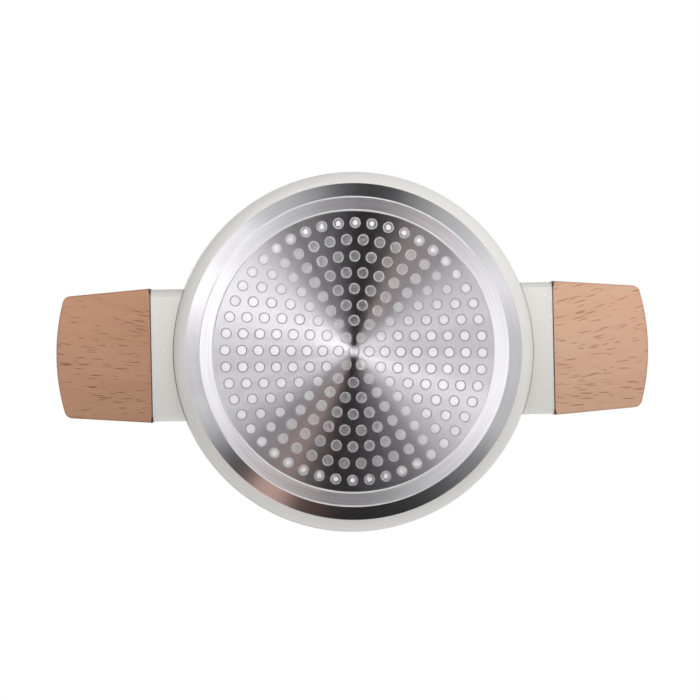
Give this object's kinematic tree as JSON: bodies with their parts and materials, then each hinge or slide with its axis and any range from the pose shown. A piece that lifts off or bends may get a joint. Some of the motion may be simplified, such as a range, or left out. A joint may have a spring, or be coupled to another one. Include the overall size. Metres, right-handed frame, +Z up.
{
  "type": "cooking pot",
  "caption": "Shallow round casserole pot with a coated aluminium body, a perforated steel induction base and short wooden side grips behind flame guards.",
  "frame": {"origin": "middle of the foot, on the surface that the pot stands on", "axes": "+Z up along the pot's axis, +X towards the right handle, +Y towards the rear"},
  "size_m": [0.335, 0.209, 0.092],
  "materials": {
    "coated_aluminium": "off-white finely speckled ceramic coating on aluminium, bare machined foot",
    "guard_coating": "the same off-white speckled coating",
    "spun_steel": "circular spun finish",
    "bare_aluminium": "satin",
    "fastener_steel": "zinc plated",
    "beech": "oiled beech"
  },
  "bodies": {
    "root": {"pot_body": "coated_aluminium", "induction_disc": "spun_steel", "left_handle_bracket": "bare_aluminium", "left_flame_guard": "guard_coating", "left_grip": "beech", "left_front_rivet": "bare_aluminium", "left_front_screw": "fastener_steel", "left_front_washer": "fastener_steel", "left_rear_rivet": "bare_aluminium", "left_rear_screw": "fastener_steel", "left_rear_washer": "fastener_steel", "right_handle_bracket": "bare_aluminium", "right_flame_guard": "guard_coating", "right_grip": "beech", "right_front_rivet": "bare_aluminium", "right_front_screw": "fastener_steel", "right_front_washer": "fastener_steel", "right_rear_rivet": "bare_aluminium", "right_rear_screw": "fastener_steel", "right_rear_washer": "fastener_steel"}
  },
  "joints": []
}
